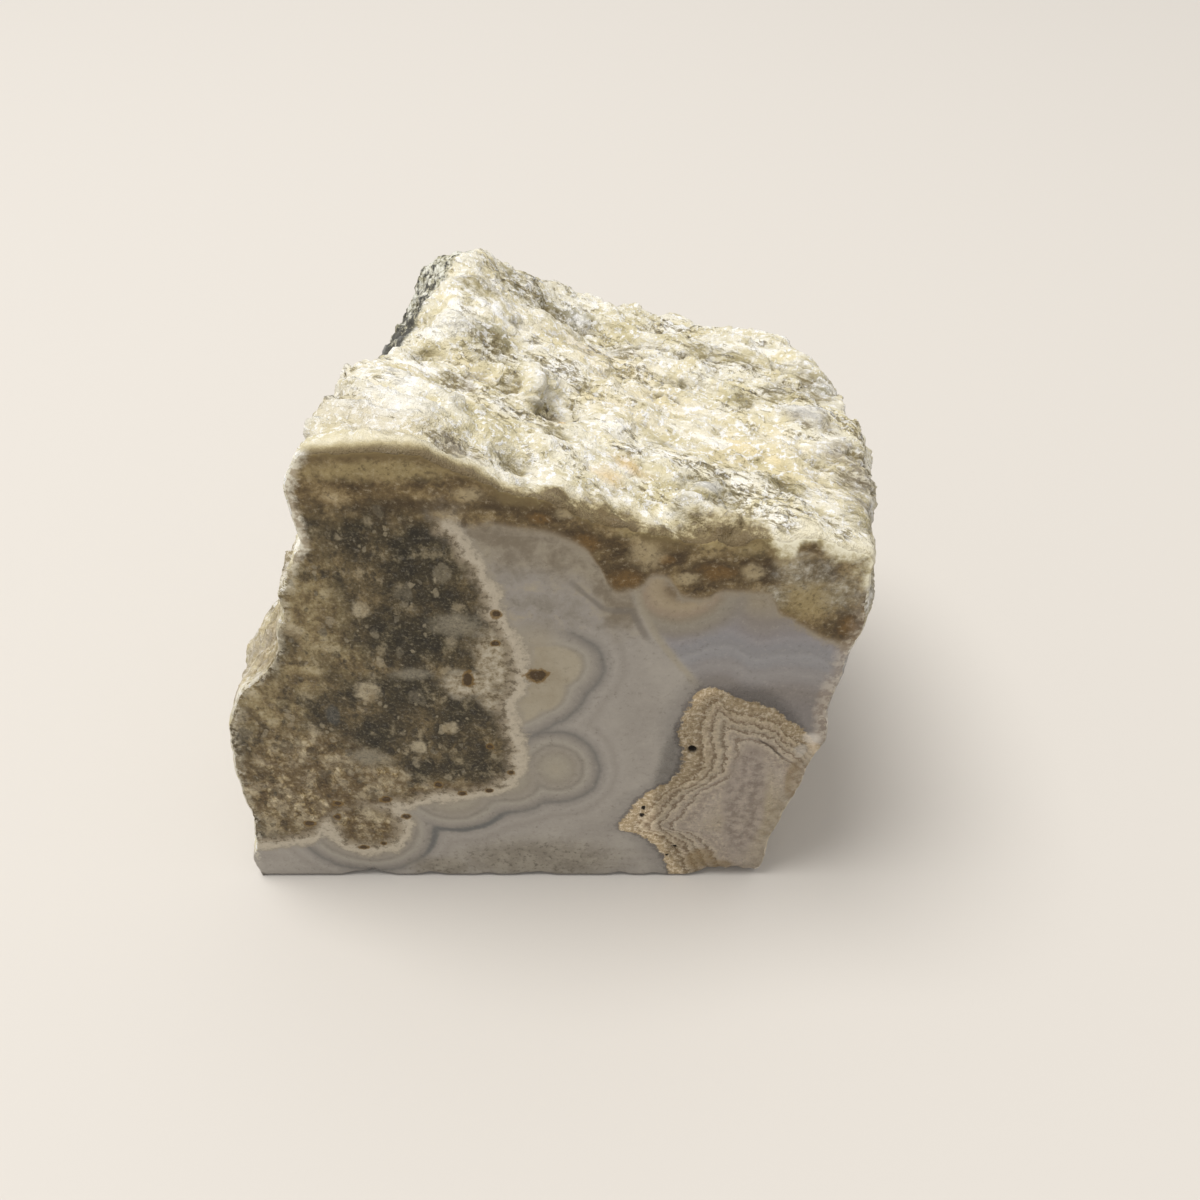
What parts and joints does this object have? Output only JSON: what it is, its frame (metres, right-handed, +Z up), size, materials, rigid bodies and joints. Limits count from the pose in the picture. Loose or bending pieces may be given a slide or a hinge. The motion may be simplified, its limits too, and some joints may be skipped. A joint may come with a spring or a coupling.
{
  "type": "rough agate stone",
  "caption": "Rough block-shaped lump of banded blue-grey agate with dark speckled host rock, a flat sawn front, a pale broken top and a flat base to rest on.",
  "frame": {"origin": "centre of the base of the stone's bounding box, on the surface that it rests on", "axes": "+Z up, the sawn face looks along -Y, and +X runs to the right as that face is looked at"},
  "size_m": [0.0582, 0.0458, 0.0507],
  "materials": {
    "stone": "satin on the sawn face, matte and granular on the broken skin"
  },
  "bodies": {
    "root": {"stone": "stone"}
  },
  "joints": []
}
